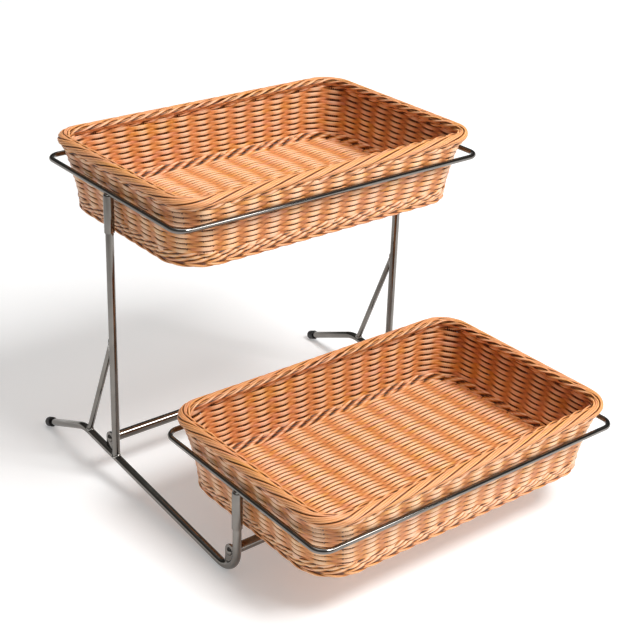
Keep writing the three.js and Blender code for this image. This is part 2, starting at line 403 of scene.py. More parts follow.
class Workshop:
    """Turns finished meshes into pieces: finish, body and the CAD nodes that they stand for."""

    def __init__(self) -> None:
        """Mixes the finishes once."""
        self.chrome = ChromeFinish().material()
        self.weld = WeldFinish().material()
        self.plastic = PlasticFinish().material()
        self.cane = WickerFinish().material()

    def piece(self, name: str, mesh: bpy.types.Mesh, material: bpy.types.Material, body: str, slot: Slot,
              nodes: Iterable[str] = ()) -> None:
        """Adds one piece to the rack.

        Args:
            name: Name of the piece.
            mesh: Its mesh, already in the part frame.
            material: Its finish.
            body: CAD body that it rides on.
            slot: Slot of the record; not used.
            nodes: CAD nodes that it stands for.
        """
        mesh.name = name
        mesh.materials.clear()
        mesh.materials.append(material)
        made = bpy.data.objects.new(name, mesh)
        bpy.context.scene.collection.objects.link(made)
        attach(made, body)
        for node in nodes:
            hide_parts(node)
        LOG.info("%s: %d faces on %s", name, len(mesh.polygons), body)


def mesh_of(bm: bmesh.types.BMesh, place: Matrix) -> bpy.types.Mesh:
    """Closes a bmesh and puts it in the part frame with smooth shading.

    Args:
        bm: The shape, which is freed.
        place: Matrix to the part frame.

    Returns:
        The finished mesh.
    """
    bmesh.ops.remove_doubles(bm, verts=bm.verts[:], dist=MERGE)
    bmesh.ops.recalc_face_normals(bm, faces=bm.faces[:])
    mesh = bpy.data.meshes.new("piece")
    bm.to_mesh(mesh)
    bm.free()
    mesh.transform(place)
    mesh.shade_smooth()
    mesh.set_sharp_from_angle(angle=SMOOTH_LIMIT)
    return mesh


class RodBender:
    """Makes one rod as a bender does: straight runs are pushed out and corners are turned."""

    def __init__(self, start: Vector, heading: Vector, radius: float) -> None:
        """Cuts the first end.

        Args:
            start: Middle of the first end.
            heading: Direction that the rod leaves it.
            radius: Radius of the rod.
        """
        self.bm = bmesh.new()
        self.tip = start.copy()
        self.heading = heading.normalized()
        bmesh.ops.create_circle(self.bm, cap_ends=False, segments=ROD_SIDES, radius=radius,
                                matrix=Matrix.Translation(start) @ aimed(self.heading))
        self.rim = self.bm.edges[:]
        self.first = self.bm.edges[:]

    def run(self, length: float) -> None:
        """Pushes the rod straight on.

        Args:
            length: How far.
        """
        made = bmesh.ops.extrude_edge_only(self.bm, edges=self.rim)["geom"]
        verts = [item for item in made if isinstance(item, bmesh.types.BMVert)]
        bmesh.ops.translate(self.bm, verts=verts, vec=self.heading * length)
        fresh = set(verts)
        edges = [item for item in made if isinstance(item, bmesh.types.BMEdge)]
        self.rim = [edge for edge in edges if fresh.issuperset(edge.verts)]
        self.tip = self.tip + self.heading * length

    def turn(self, heading: Vector, radius: float, steps: int) -> None:
        """Bends the rod to a new heading.

        Args:
            heading: Direction after the bend.
            radius: Radius of the bend at the rod's axis.
            steps: Divisions of the bend.
        """
        goal = heading.normalized()
        axis = self.heading.cross(goal).normalized()
        angle = self.heading.angle(goal)
        centre = self.tip + axis.cross(self.heading) * radius
        verts = list({vert for edge in self.rim for vert in edge.verts})
        made = bmesh.ops.spin(self.bm, geom=verts + self.rim, cent=centre, axis=axis, angle=angle,
                              steps=steps, use_merge=False, use_duplicate=False)["geom_last"]
        self.rim = [item for item in made if isinstance(item, bmesh.types.BMEdge)]
        self.tip = centre + Quaternion(axis, angle) @ (self.tip - centre)
        self.heading = goal

    def follow(self, corners: Sequence[Vector], radii: Sequence[float], steps: int = 18) -> None:
        """Bends the rod through corners to the last one.

        Args:
            corners: Corners after the start, where the straight axes meet, and the far end.
            radii: Bend radius at each corner but the last.
            steps: Divisions of each bend.
        """
        for corner, after, radius in zip(corners, corners[1:], radii):
            goal = (after - corner).normalized()
            room = radius * math.tan(self.heading.angle(goal) / 2.0)
            self.run((corner - self.tip).length - room)
            self.turn(goal, radius, steps)
        self.run((corners[-1] - self.tip).length)

    def ends(self, chamfer: float) -> bmesh.types.BMesh:
        """Closes both ends and rounds their edges.

        Args:
            chamfer: Size of the rounding.

        Returns:
            The finished rod.
        """
        for rim in (self.first, self.rim):
            bmesh.ops.contextual_create(self.bm, geom=rim)
        bmesh.ops.bevel(self.bm, geom=self.first + self.rim, offset=chamfer, segments=3, profile=0.5,
                        affect="EDGES", material=-1)
        return self.bm


def aimed(heading: Vector) -> Matrix:
    """Turn that brings Z to a heading."""
    return heading.to_track_quat("Z", "Y").to_matrix().to_4x4()


def turned(profile: Sequence[Span], steps: int = 36) -> bmesh.types.BMesh:
    """Turns a profile about Z.

    Args:
        profile: Radius and height of each point, from the axis or back to the first point.
        steps: Divisions of the turn.

    Returns:
        The turned shape.
    """
    bm = bmesh.new()
    verts = [bm.verts.new((radius, 0.0, height)) for radius, height in profile]
    edges = [bm.edges.new(pair) for pair in zip(verts, verts[1:])]
    bmesh.ops.spin(bm, geom=verts + edges, cent=(0, 0, 0), axis=(0, 0, 1), angle=2.0 * math.pi, steps=steps,
                   use_merge=True, use_duplicate=False)
    return bm


def rounded(radius: float, centre: Span, start: float, end: float, steps: int) -> List[Span]:
    """Points of an arc in a profile.

    Args:
        radius: Radius of the arc.
        centre: Middle of the arc in radius and height.
        start: First angle in degrees.
        end: Last angle in degrees.
        steps: Divisions of the arc.

    Returns:
        Radius and height of each point.
    """
    angles = [math.radians(start + (end - start) * step / steps) for step in range(steps + 1)]
    across, height = centre
    return [(across + radius * math.cos(angle), height + radius * math.sin(angle)) for angle in angles]


@dataclass
class Strand:
    """One length of cane or weld metal: its path, the way its outer side faces, which gets the painted
    highlight, and how much painted shade darkens it, as if it lay deep in the weave.
    """

    path: np.ndarray
    facing: np.ndarray
    # Painted shade: how much the strand is darkened all over.
    depth: Union[float, np.ndarray] = 0.0


@dataclass(frozen=True)
class Section:
    """Cross-section of a strand: thickness, width, how round it is, and whether it lies flat or stands."""

    thickness: float
    width: float = 0.0
    rounding: int = 1
    flat: bool = False


@dataclass(frozen=True)
class Twist:
    """Rope of strands: section, reach outwards and upwards, turns, starts, points, painted shade where the
    strands turn into the rope's gaps, and painted shade over the whole rope.
    """

    section: Section
    reach: Span
    turns: int
    starts: Tuple[float, ...]
    points: int
    # Painted shade where the strands turn into the rope's gaps, and over the whole rope.
    gap: float
    painted_sunk_shade: float


def laid(strands: Sequence[Strand], section: Section, closed: bool, place: Matrix) -> bpy.types.Mesh:
    """Sweeps strands of one section and marks their lay and their painted light and shade on the mesh.

    Args:
        strands: Strands with the same number of points each.
        section: Their cross-section.
        closed: Whether each strand joins its own start.
        place: Matrix to the part frame.

    Returns:
        The mesh of all the strands.
    """
    curve = bpy.data.curves.new("strands", "CURVE")
    curve.dimensions = "3D"
    curve.twist_mode = "Z_UP"
    curve.bevel_depth = section.thickness / 2.0
    curve.extrude = max(0.0, (section.width - section.thickness) / 2.0)
    curve.bevel_resolution = section.rounding
    for strand in strands:
        spline = curve.splines.new("POLY")
        spline.points.add(len(strand.path) - 1)
        weights = np.ones(len(strand.path))
        spline.points.foreach_set("co", np.column_stack([strand.path, weights]).ravel())
        spline.points.foreach_set("tilt", weights * (math.pi / 2.0 if section.flat else 0.0))
        spline.use_cyclic_u = closed
        spline.use_smooth = True
    holder = bpy.data.objects.new("strands", curve)
    bpy.context.scene.collection.objects.link(holder)
    bpy.context.view_layer.update()
    depsgraph = bpy.context.evaluated_depsgraph_get()
    mesh = bpy.data.meshes.new_from_object(holder.evaluated_get(depsgraph))
    bpy.data.objects.remove(holder)
    bpy.data.curves.remove(curve)
    mark(mesh, strands, section)
    mesh.transform(place)
    mesh.shade_smooth()
    return mesh


def mark(mesh: bpy.types.Mesh, strands: Sequence[Strand], section: Section) -> None:
    """Writes each strand's lay, and its painted light and shade, as attributes.

    Args:
        mesh: Mesh of the swept strands, point by point along each strand.
        strands: The strands.
        section: Their cross-section.
    """
    count = len(mesh.vertices)
    place = np.empty(count * 3)
    mesh.vertices.foreach_get("co", place)
    points = len(strands[0].path)
    around = count // (len(strands) * points)
    place = place.reshape(len(strands), points, around, 3)
    path = np.array([strand.path for strand in strands])[:, :, None, :]
    facing = np.array([strand.facing for strand in strands])[:, :, None, :]
    depth = np.array([np.broadcast_to(strand.depth, points) for strand in strands])[:, :, None]
    # Painted light: points that stand out on the side a strand faces get painted highlight, and the strand's
    # painted shade darkens it all.
    painted_light = ((place - path) * facing).sum(axis=3) / (section.thickness / 2.0) - depth
    steps = np.linalg.norm(np.diff(path[:, :, 0, :], axis=1), axis=2)
    along = np.concatenate([np.zeros((len(strands), 1)), np.cumsum(steps, axis=1)], axis=1)
    lay = np.empty((len(strands), points, around, 3))
    lay[..., 0] = along[:, :, None]
    lay[..., 1] = np.abs(np.linspace(-1.0, 1.0, around))
    lay[..., 2] = np.arange(len(strands))[:, None, None]
    painted_light = np.clip(painted_light, -1.0, 1.0)
    mesh.attributes.new("painted_light", "FLOAT", "POINT").data.foreach_set("value", painted_light.ravel())
    mesh.attributes.new("lay", "FLOAT_VECTOR", "POINT").data.foreach_set("vector", lay.ravel())


@dataclass(frozen=True)
class Outline:
    """Rounded rectangle seen from above, measured from the middle of its front side."""

    half_length: float
    half_depth: float
    corner: float

    @property
    def perimeter(self) -> float:
        """Length once round."""
        return 4.0 * (self.half_length + self.half_depth - 2.0 * self.corner) + 2.0 * math.pi * self.corner

    def grown(self, margin: float) -> "Outline":
        """The same outline moved outwards by a margin."""
        return Outline(self.half_length + margin, self.half_depth + margin, self.corner + margin)

    def reach(self, depth: float) -> float:
        """Half length of the outline at a depth from its middle."""
        past = max(0.0, abs(depth) - (self.half_depth - self.corner))
        return self.half_length - self.corner + math.sqrt(max(0.0, self.corner ** 2 - past ** 2))

    def walk(self, count: int) -> Tuple[np.ndarray, np.ndarray]:
        """Even points round the outline.

        Args:
            count: Number of points.

        Returns:
            Points and outward directions, each as rows of x and y.
        """
        straight_x = self.half_length - self.corner
        straight_y = self.half_depth - self.corner
        arc = self.corner * math.pi / 2.0
        corner = (arc, True)
        long_side, short_side = (2.0 * straight_x, False), (2.0 * straight_y, False)
        half_side = (straight_x, False)
        sides = [half_side, corner, short_side, corner, long_side, corner, short_side, corner, half_side]
        points, ways = [], []
        for step in range(count):
            point, way = self._at(self.perimeter * step / count, sides)
            points.append(point)
            ways.append(way)
        return np.array(points), np.array(ways)

    def _at(self, distance: float, sides: Sequence[Tuple[float, bool]]) -> Tuple[Span, Span]:
        """One point of the walk.

        Args:
            distance: Distance walked from the middle of the front.
            sides: Length of each stretch and whether it is a corner.

        Returns:
            The point and its outward direction.
        """
        place = Vector((0.0, -self.half_depth))
        heading = 0.0
        for length, is_corner in sides:
            part = min(distance, length)
            if is_corner:
                centre = place + self.corner * Vector((-math.sin(heading), math.cos(heading)))
                heading += part / self.corner
                place = centre + self.corner * Vector((math.sin(heading), -math.cos(heading)))
            else:
                place = place + part * Vector((math.cos(heading), math.sin(heading)))
            distance -= part
            if distance <= 0.0:
                break
        return tuple(place), (math.sin(heading), -math.cos(heading))


def bulge(wave: np.ndarray, sharpness: float) -> np.ndarray:
    """Narrows the crests of a wave, as a strand bulges over a stake and lies flat between two.

    Args:
        wave: Values from -1 to 1.
        sharpness: Power of the wave; higher is narrower.

    Returns:
        The narrowed wave.
    """
    return np.sign(wave) * np.abs(wave) ** sharpness


@dataclass
class SideFrame:
    """One side of the stand: bent rail, upright, brace, gussets, bolts and foot cap."""

    side: Side
    shop: Workshop
    half_span: float = 225.0 * MM
    post_spacing: float = 260.0 * MM
    rod: float = 5.0 * MM
    brace_rod: float = 3.75 * MM
    slope: float = math.radians(5.4)
    ring_seat: float = 3.5 * MM
    front_bend: float = 30.0 * MM
    rear_bend: float = 50.0 * MM
    rear_bend_depth: float = 337.5 * MM
    rod_chamfer: float = 0.7 * MM
    foot_tip: Span = (438.0 * MM, -10.48 * MM)
    cap_end: float = 2.0 * MM
    cap_radius: float = 6.5 * MM
    cap_bore: float = 5.2 * MM
    cap_length: float = 13.0 * MM
    cap_edge: float = 2.6 * MM
    cap_lip: float = 0.5 * MM
    brace_depth: float = 326.0 * MM
    brace_height: float = 192.0 * MM
    brace_cut: float = 12.0 * MM
    brace_chamfer: float = 0.5 * MM
    plate: float = 3.0 * MM
    plate_depth: float = 21.0 * MM
    plate_rise: float = 9.0 * MM
    plate_corner: float = 9.0 * MM
    plate_edge: float = 0.4 * MM
    square_edge: float = 1.2
    setback: float = 12.7 * MM
    bar_heights: Span = (27.5 * MM, 45.8 * MM)
    bolt_head: float = 5.0 * MM
    bolt_height: float = 3.2 * MM
    bolt_shank: float = 3.0 * MM
    bolt_grip: float = 17.0 * MM
    bolt_edge: float = 0.4 * MM
    bead: float = 1.25 * MM

    @property
    def label(self) -> str:
        """Lower-case side, as the CAD nodes use it."""
        return self.side.name.lower()

    def at(self, depth: float, height: float) -> Vector:
        """A point in the plane of this side frame."""
        return Vector((self.side.value * self.half_span, depth, height))

    def runner(self, depth: float) -> float:
        """Height of the runner's axis at a depth."""
        return depth * math.tan(self.slope)

    def build(self) -> None:
        """Makes every piece of the side."""
        self.build_rail()
        self.build_upright()
        self.build_brace()
        self.build_cap()
        self.build_gussets()
        self.build_bolts()
        self.build_welds()

    def add(self, node: str, suffix: str, bm: bmesh.types.BMesh, place: Matrix = RACK) -> None:
        """Adds one plated piece that stands for a CAD node of this side.

        Args:
            node: Name of the node after the side.
            suffix: What the piece is, after the node's name.
            bm: Its shape, which is freed.
            place: Matrix to the part frame.
        """
        name = f"{self.label}_{node}"
        mesh = mesh_of(bm, place)
        self.shop.piece(f"{name}_{suffix}", mesh, self.shop.chrome, "stand", Slot.CHROME, [name])

    def foot_axis(self) -> Tuple[Vector, Vector]:
        """Corner of the rear bend and tip of the foot."""
        return self.at(self.rear_bend_depth, self.runner(self.rear_bend_depth)), self.at(*self.foot_tip)

    def build_rail(self) -> None:
        """Bends the post, runner and foot from one rod."""
        top = self.at(0.0, Tier.LOWER.value[1] - self.ring_seat)
        bend, tip = self.foot_axis()
        end = tip - (tip - bend).normalized() * (self.cap_end + FIT)
        rail = RodBender(top, Vector((0, 0, -1)), self.rod)
        rail.follow([self.at(0.0, 0.0), bend, end], [self.front_bend, self.rear_bend])
        self.add("side_rail", "rod", rail.ends(self.rod_chamfer))

    def build_upright(self) -> None:
        """Stands the upright on the runner."""
        low = self.at(self.post_spacing, self.runner(self.post_spacing))
        top = self.at(self.post_spacing, Tier.UPPER.value[1] - self.ring_seat)
        upright = RodBender(low, Vector((0, 0, 1)), self.rod)
        upright.run((top - low).length)
        self.add("upright", "rod", upright.ends(self.rod_chamfer))

    def brace_axis(self) -> Tuple[Vector, Vector]:
        """Works out the brace's axis.

        Returns:
            Foot and cut head of the brace.
        """
        foot = self.at(self.brace_depth, self.runner(self.brace_depth))
        head = self.at(self.post_spacing, self.brace_height)
        return foot, head - (head - foot).normalized() * self.brace_cut

    def build_brace(self) -> None:
        """Lays the thin brace from the runner to the upright."""
        foot, head = self.brace_axis()
        brace = RodBender(foot, head - foot, self.brace_rod)
        brace.run((head - foot).length)
        self.add("brace", "rod", brace.ends(self.brace_chamfer))

    def build_cap(self) -> None:
        """Moulds the cap over the end of the foot."""
        edge, lip, outer = self.cap_edge, self.cap_lip, self.cap_radius
        profile = [(0.0, -self.cap_end), (self.cap_bore, -self.cap_end), (self.cap_bore, -self.cap_length)]
        profile += rounded(lip, (outer - lip, -self.cap_length + lip), -90.0, 0.0, 3)
        profile += rounded(edge, (outer - edge, -edge), 0.0, 90.0, 6)
        profile += [(0.0, 0.0)]
        bend, tip = self.foot_axis()
        mesh = mesh_of(turned(profile), RACK @ Matrix.Translation(tip) @ aimed(tip - bend))
        name = f"{self.label}_foot_cap"
        self.shop.piece(f"{name}_moulding", mesh, self.shop.plastic, "stand", Slot.PLASTIC, [name])

    def front_outline(self) -> List[Span]:
        """Draws the gusset's edge behind the front post, which follows the bend of the rod.

        Returns:
            Depth and height of each point.
        """
        centre = (self.front_bend, self.runner(self.front_bend) + self.front_bend / math.cos(self.slope))
        sweep = math.degrees(math.acos((self.plate_depth - centre[0]) / self.front_bend))
        top = (0.0, self.bar_heights[0] + self.plate_rise)
        return [top] + rounded(self.front_bend, centre, 180.0, 360.0 - sweep, 6)

    def rear_outline(self) -> List[Span]:
        """Draws the gusset's edge behind the upright, straight along the runner.

        Returns:
            Depth and height of each point.
        """
        near, far = self.post_spacing, self.post_spacing + self.plate_depth
        top = self.bar_heights[1] + self.plate_rise
        return [(near, top), (near, self.runner(near)), (far, self.runner(far))]

    def build_gussets(self) -> None:
        """Cuts the two corner plates."""
        for place, outline, height in (("front", self.front_outline(), self.bar_heights[0]),
                                       ("rear", self.rear_outline(), self.bar_heights[1])):
            bm = bmesh.new()
            back = outline[-1][0]
            verts = [bm.verts.new(self.at(*point)) for point in outline]
            free = bm.verts.new(self.at(back, height + self.plate_rise))
            face = bm.faces.new(verts + [free])
            bmesh.ops.translate(bm, verts=bm.verts[:], vec=(-self.plate / 2.0, 0, 0))
            made = bmesh.ops.extrude_face_region(bm, geom=[face], use_keep_orig=True)["geom"]
            lifted = [item for item in made if isinstance(item, bmesh.types.BMVert)]
            bmesh.ops.translate(bm, verts=lifted, vec=(self.plate, 0, 0))
            corner = [edge for edge in free.link_edges
                      if abs((edge.verts[0].co - edge.verts[1].co).x) > self.plate / 2.0]
            bmesh.ops.bevel(bm, geom=corner, offset=self.plate_corner, segments=8, profile=0.5,
                            affect="EDGES", material=-1)
            rims = [edge for edge in bm.edges
                    if len(edge.link_faces) == 2 and edge.calc_face_angle() > self.square_edge]
            bmesh.ops.bevel(bm, geom=rims, offset=self.plate_edge, segments=2, profile=0.5, affect="EDGES",
                            material=-1)
            self.add(f"{place}_gusset", "plate", bm)

    def build_bolts(self) -> None:
        """Turns the dome-head bolts that hold the crossbars."""
        head, height, shank = self.bolt_head, self.bolt_height, self.bolt_shank
        dome = (head ** 2 + height ** 2) / (2.0 * height)
        span = math.degrees(math.asin(head / dome))
        profile = [(0.0, -self.bolt_grip), (shank, -self.bolt_grip)]
        profile += [(shank, 0.0), (head - self.bolt_edge, 0.0)]
        profile += rounded(dome, (0.0, height - dome), 90.0 - span, 90.0, 9)
        profile[-1] = (0.0, height)
        outwards = Vector((self.side.value, 0, 0))
        for place, depth, level in (("front", 0.0, self.bar_heights[0]),
                                    ("rear", self.post_spacing, self.bar_heights[1])):
            seat = self.at(depth + self.setback, level) + outwards * (self.plate / 2.0 + FIT)
            stance = RACK @ Matrix.Translation(seat) @ aimed(outwards)
            self.add(f"{place}_bolt", "dome", turned(profile, steps=32), stance)

    def build_welds(self) -> None:
        """Runs weld beads where the upright and the brace meet the other rods."""
        foot, head = self.brace_axis()
        low = self.at(self.post_spacing, self.runner(self.post_spacing))
        along = Vector((0, math.cos(self.slope), math.sin(self.slope)))
        up = Vector((0, 0, 1))
        beads = [
            self.saddle(low, up, self.rod, low, along),
            self.saddle(foot, head - foot, self.brace_rod, foot, along),
            self.saddle(self.at(self.post_spacing, self.brace_height), foot - head, self.brace_rod, low, up),
        ]
        mesh = laid(beads, Section(2.0 * self.bead, rounding=2), True, RACK)
        self.shop.piece(f"{self.label}_frame_welds", mesh, self.shop.weld, "stand", Slot.CHROME)

    def saddle(self, start: Vector, heading: Vector, radius: float, base: Vector, axis: Vector) -> Strand:
        """Seam where a rod that starts inside another one leaves it.

        Args:
            start: Point on the leaving rod's axis inside the other rod.
            heading: Direction of the leaving rod.
            radius: Its radius.
            base: Point on the other rod's axis.
            axis: Direction of the other rod.

        Returns:
            The seam as a closed strand.
        """
        way = heading.normalized()
        side = Vector((1, 0, 0))
        other = way.cross(side)
        path = []
        for step in range(BEAD_STEPS):
            angle = 2.0 * math.pi * step / BEAD_STEPS
            foot = start + radius * (math.cos(angle) * side + math.sin(angle) * other) - base
            flat_foot = foot - foot.dot(axis) * axis
            flat_way = way - way.dot(axis) * axis
            a, b = flat_way.length_squared, flat_foot.dot(flat_way)
            c = flat_foot.length_squared - self.rod ** 2
            travel = (-b + math.sqrt(max(0.0, b * b - a * c))) / a
            path.append(base + foot + travel * way)
        return Strand(np.array(path), np.zeros((BEAD_STEPS, 3)))


@dataclass
class Crossbar:
    """Straight bar between the two side frames."""

    place: str
    depth: float
    height: float
    shop: Workshop
    half: float = 223.2 * MM
    radius: float = 6.25 * MM
    chamfer: float = 0.6 * MM

    def build(self) -> None:
        """Cuts the bar to length."""
        bar = RodBender(Vector((-self.half, self.depth, self.height)), Vector((1, 0, 0)), self.radius)
        bar.run(2.0 * self.half)
        name = f"{self.place}_crossbar"
        mesh = mesh_of(bar.ends(self.chamfer), RACK)
        self.shop.piece(f"{name}_bar", mesh, self.shop.chrome, "stand", Slot.CHROME, [name])


@dataclass
class BasketRing:
    """Slip-on ring: a bent rectangle of thin rod with a sleeve under each short side."""

    tier: Tier
    shop: Workshop
    half_length: float = 225.0 * MM
    half_depth: float = 146.0 * MM
    corner: float = 16.0 * MM
    rod: float = 3.2 * MM
    sleeve: float = 6.2 * MM
    bore: float = 5.45 * MM
    reach: float = 50.0 * MM
    seat: float = 3.4 * MM
    lip: float = 0.3 * MM
    shoulder: float = 2.4 * MM
    shoulder_drop: float = 0.4 * MM
    crown: float = 2.0 * MM
    bead: float = 2.6 * MM
    bead_inset: float = 1.6 * MM
    bead_lift: float = 1.0 * MM
    bead_climb: float = 2.2 * MM
    bead_squeeze: float = 0.85

    @property
    def body(self) -> str:
        """CAD body of the ring, and its node."""
        return f"{self.tier.label}_ring"

    def build(self) -> None:
        """Makes the ring, its sleeves and their welds."""
        self.build_hoop()
        for side in Side:
            self.build_sleeve(side)
        self.build_welds()

    def build_hoop(self) -> None:
        """Bends the closed rectangle."""
        length, depth = self.half_length, self.half_depth
        start = Vector((0.0, -depth, 0.0))
        hoop = RodBender(start, Vector((1, 0, 0)), self.rod)
        corners = [Vector((length, -depth, 0)), Vector((length, depth, 0)), Vector((-length, depth, 0)),
                   Vector((-length, -depth, 0)), start]
        hoop.follow(corners, [self.corner] * 4, steps=14)
        mesh = mesh_of(hoop.bm, self.tier.place)
        self.shop.piece(f"{self.body}_hoop", mesh, self.shop.chrome, self.body, Slot.CHROME, [self.body])

    def build_sleeve(self, side: Side) -> None:
        """Turns the sleeve that slips over a post.

        Args:
            side: Which post.
        """
        lip, shoulder = self.lip, self.shoulder
        low, top = -self.reach, -self.seat
        profile = [(0.0, top), (self.bore, top), (self.bore, low + lip), (self.bore + lip, low)]
        profile += rounded(lip, (self.sleeve - lip, low + lip), -90.0, 0.0, 3)
        profile += rounded(shoulder, (self.sleeve - shoulder, top - self.shoulder_drop), 0.0, 90.0, 5)
        profile += [(0.0, top + self.crown)]
        place = self.tier.place @ Matrix.Translation((side.value * self.half_length, 0, 0))
        mesh = mesh_of(turned(profile), place)
        name = f"{self.tier.label}_{side.name.lower()}_socket"
        self.shop.piece(f"{name}_sleeve", mesh, self.shop.chrome, self.body, Slot.CHROME, [name])

    def build_welds(self) -> None:
        """Runs a bead round the top of each sleeve, up the sides of the ring's rod."""
        angle = 2.0 * np.pi * np.arange(BEAD_STEPS) / BEAD_STEPS
        radius = self.sleeve - self.bead_inset
        level = self.bead_lift - self.seat + self.bead_climb * np.abs(np.sin(angle)) ** 3
        beads = []
        for side in Side:
            x = side.value * self.half_length + self.bead_squeeze * radius * np.cos(angle)
            path = np.column_stack([x, radius * np.sin(angle), level])
            beads.append(Strand(path, np.zeros((BEAD_STEPS, 3))))
        mesh = laid(beads, Section(self.bead, rounding=2), True, self.tier.place)
        self.shop.piece(f"{self.body}_welds", mesh, self.shop.weld, self.body, Slot.CHROME)


@dataclass
class Basket:
    """Wicker basket: randed walls, waled bands, woven floor, rolled rim and plaited foot border.

    Each station is a level of the wall above the ring's axis, with its half length and corner radius there.
    """

    tier: Tier
    shop: Workshop
    difference: float = 75.85 * MM
    stations: Tuple[Point, ...] = (
        (-48.0 * MM, 210.2 * MM, 52.0 * MM), (-20.0 * MM, 214.9 * MM, 53.0 * MM),
        (0.0 * MM, 218.2 * MM, 52.0 * MM), (12.0 * MM, 220.2 * MM, 48.0 * MM),
        (20.7 * MM, 221.6 * MM, 43.0 * MM))
    half_wall: float = 2.5 * MM
    stakes: int = 44
    stake_steps: int = 8
    stake_span: Span = (-50.0 * MM, 26.0 * MM)
    stake_points: int = 7
    stake_rods: Tuple[float, ...] = (-5.4 * MM, -2.7 * MM, 0.0, 2.7 * MM, 5.4 * MM)
    stake_cane: Section = Section(2.8 * MM)
    # Painted shade that darkens the stakes.
    stake_painted_shade: float = 0.8
    row_pitch: float = 3.5 * MM
    row_span: Span = (-41.5 * MM, 18.0 * MM)
    sway: float = 1.75 * MM
    wall_sharpness: float = 1.8
    cane: Section = Section(1.75 * MM, 5.3 * MM)
    unevenness: float = 0.22 * MM
    drift_waves: Tuple[int, int] = (3, 7)
    drift_start: float = 6.0
    drift_shift: float = 0.6
    lag: float = 0.05
    pull: Span = (0.9, 1.05)
    wale_levels: Tuple[float, ...] = (20.4 * MM, -42.0 * MM, -45.5 * MM, -49.0 * MM)
    wale: Twist = Twist(Section(2.2 * MM, 4.0 * MM), (2.0 * MM, 0.6 * MM), 28, (0.0, 0.5), 448, 0.6, 0.2)
    floor_level: float = -50.9 * MM
    floor_outline: Outline = Outline(206.4 * MM, 130.6 * MM, 48.0 * MM)
    floor_margin: float = 1.5 * MM
    floor_pitch: float = 3.3 * MM
    floor_stake: float = 33.5 * MM
    floor_stakes: int = 12
    floor_stake_points: int = 9
    floor_points: int = 109
    floor_sway: float = 1.4 * MM
    floor_sharpness: float = 1.15
    floor_cane: Section = Section(2.1 * MM, 4.7 * MM, flat=True)
    rim_length: float = 218.4 * MM
    rim_corner: float = 34.0 * MM
    rim_level: float = 27.3 * MM
    rim_starts: Tuple[float, ...] = tuple(
        bundle / 4.0 + rod for bundle in range(4) for rod in (-0.066, 0.0, 0.066))
    rim_roll: Twist = Twist(Section(2.7 * MM), (4.8 * MM, 4.9 * MM), 9, rim_starts, 432, 0.0, 0.35)
    rim_turns: Twist = Twist(Section(2.9 * MM), (2.4 * MM, 2.6 * MM), 22, THIRDS, 594, 0.5, 0.0)
    rim_turns_inset: float = 5.2 * MM
    rim_turns_lift: float = 2.0 * MM
    rim_core: Section = Section(8.4 * MM)
    foot_length: float = 206.2 * MM
    foot_corner: float = 47.0 * MM
    foot_level: float = -53.2 * MM
    foot_cord: Twist = Twist(Section(3.4 * MM), (2.5 * MM, 1.2 * MM), 18, THIRDS, 540, 0.35, 0.2)
    foot_lift: float = 2.3 * MM
    foot_core: Section = Section(5.0 * MM, 7.0 * MM)
    core_points: int = 240
    # Painted shade that darkens the rim and foot cores.
    core_painted_shade: float = 0.7

    @property
    def body(self) -> str:
        """CAD body of the basket."""
        return f"{self.tier.label}_basket"

    def outline(self, level: float) -> Outline:
        """Middle of the wall at a level above the ring's axis.

        Args:
            level: Height above the ring's axis.

        Returns:
            The outline there.
        """
        levels, lengths, corners = zip(*self.stations)
        length = float(np.interp(level, levels, lengths)) - self.half_wall
        corner = float(np.interp(level, levels, corners)) - self.half_wall
        return Outline(length, length - self.difference, corner)

    def build(self) -> None:
        """Makes every part of the basket."""
        self.build_wall()
        self.build_stakes()
        self.build_wales()
        self.build_floor()
        self.build_rim()
        self.build_foot_border()

    def piece(self, name: str, mesh: bpy.types.Mesh, nodes: Iterable[str] = ()) -> None:
        """Adds one wicker piece.

        Args:
            name: Name of the piece after the tier.
            mesh: Its mesh.
            nodes: Names after the basket of the CAD nodes that it stands for.
        """
        self.shop.piece(f"{self.body}_{name}", mesh, self.shop.cane, self.body, Slot.WICKER,
                        [f"{self.body}_{node}" for node in nodes])

    def hand(self) -> np.random.Generator:
        """Seeded hand of the weaver, another for each basket."""
        return np.random.default_rng(list(Tier).index(self.tier))

    def wander(self, hand: np.random.Generator, count: int) -> np.ndarray:
        """Small uneven drift of one row.

        Args:
            hand: Hand of the weaver.
            count: Points along the row.

        Returns:
            Offset at each point.
        """
        turn = 2.0 * np.pi * np.arange(count) / count
        drift = np.sin(hand.integers(*self.drift_waves) * turn + hand.uniform(0.0, self.drift_start))
        return self.unevenness * (hand.uniform(-self.drift_shift, self.drift_shift) + drift)

    def build_wall(self) -> None:
        """Weaves the rows in front of one stake and behind the next."""
        count = self.stakes * self.stake_steps
        low, high = self.row_span
        hand = self.hand()
        strands = []
        for row in range(int(round((high - low) / self.row_pitch)) + 1):
            level = low + row * self.row_pitch
            points, ways = self.outline(level).walk(count)
            turn = np.pi * (np.arange(count) / self.stake_steps + row + hand.uniform(-self.lag, self.lag))
            wave = bulge(np.cos(turn), self.wall_sharpness)
            flat = points + ways * (self.sway * hand.uniform(*self.pull) * wave)[:, None]
            path = np.column_stack([flat, level + self.wander(hand, count)])
            # Painted light: the strand faces out where it passes over a stake and in where it passes behind
            # one, so it gets painted highlight over the stakes and painted shade behind them.
            outward = np.column_stack([ways * wave[:, None], np.zeros(count)])
            strands.append(Strand(path, outward))
        self.piece("wall_weave", laid(strands, self.cane, True, self.tier.place), ["wall"])

